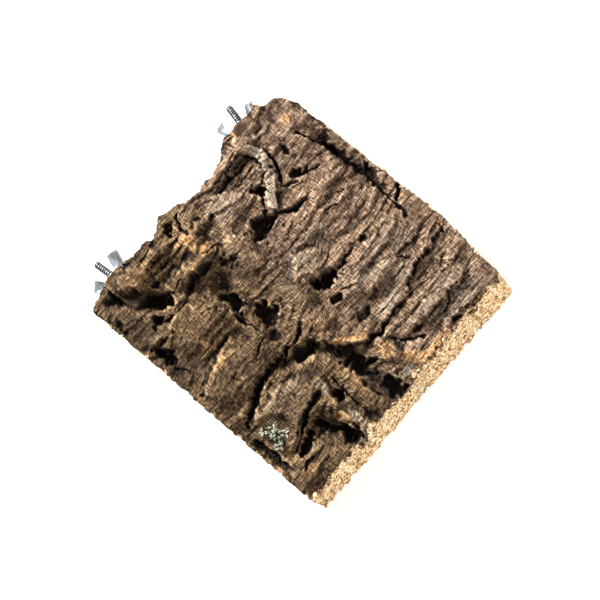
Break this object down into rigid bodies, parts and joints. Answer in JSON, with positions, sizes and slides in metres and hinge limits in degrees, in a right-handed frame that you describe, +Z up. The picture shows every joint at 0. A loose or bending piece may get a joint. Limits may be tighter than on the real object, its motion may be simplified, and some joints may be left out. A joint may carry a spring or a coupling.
{
  "type": "cork bark slab",
  "caption": "Square slab of rough virgin cork bark, sawn on three sides, with threaded studs, washers and wing nuts in its natural back edge and a lichen tuft on the bark.",
  "frame": {"origin": "on the flat underside, midway between the two sawn sides", "axes": "+X to the right along the sawn front edge, +Y to the back edge where the studs stand out, +Z up, bark side up"},
  "size_m": [0.206, 0.2476, 0.0423],
  "materials": {
    "cork_bark": "rough natural bark with paler sawn cork on the cut edges",
    "zinc_plated_steel": "bright zinc plating, satin",
    "lichen": "dry matt grey-green lichen"
  },
  "bodies": {
    "bark": {"cork_slab": "cork_bark", "lichen_tuft": "lichen", "left_stud": "zinc_plated_steel", "left_inner_washer": "zinc_plated_steel", "right_stud": "zinc_plated_steel", "right_inner_washer": "zinc_plated_steel"},
    "left_clamp_washer": {"left_outer_washer": "zinc_plated_steel"},
    "left_clamp_nut": {"left_wing_nut": "zinc_plated_steel"},
    "right_clamp_washer": {"right_outer_washer": "zinc_plated_steel"},
    "right_clamp_nut": {"right_wing_nut": "zinc_plated_steel"}
  },
  "joints": [
    {"name": "left_washer_travel", "type": "slide", "parent": "bark", "child": "left_clamp_washer", "axis": [-0.0785, 0.9969, 0], "range_m": [0, 0.01225]},
    {"name": "left_nut_turn", "type": "hinge", "parent": "left_clamp_washer", "child": "left_clamp_nut", "pos_m": [-0.074, 0.111, 0.0175], "axis": [-0.0785, 0.9969, 0], "range_deg": [0, 4411]},
    {"name": "right_washer_travel", "type": "slide", "parent": "bark", "child": "right_clamp_washer", "axis": [0.2181, 0.9759, 0], "range_m": [0, 0.01225]},
    {"name": "right_nut_turn", "type": "hinge", "parent": "right_clamp_washer", "child": "right_clamp_nut", "pos_m": [0.0646, 0.111, 0.0175], "axis": [0.2181, 0.9759, 0], "range_deg": [0, 4411]}
  ],
  "couplings": [
    {"joint": "left_nut_turn", "follows": "left_washer_travel", "rad_per_m": 6283.2},
    {"joint": "right_nut_turn", "follows": "right_washer_travel", "rad_per_m": 6283.2}
  ]
}
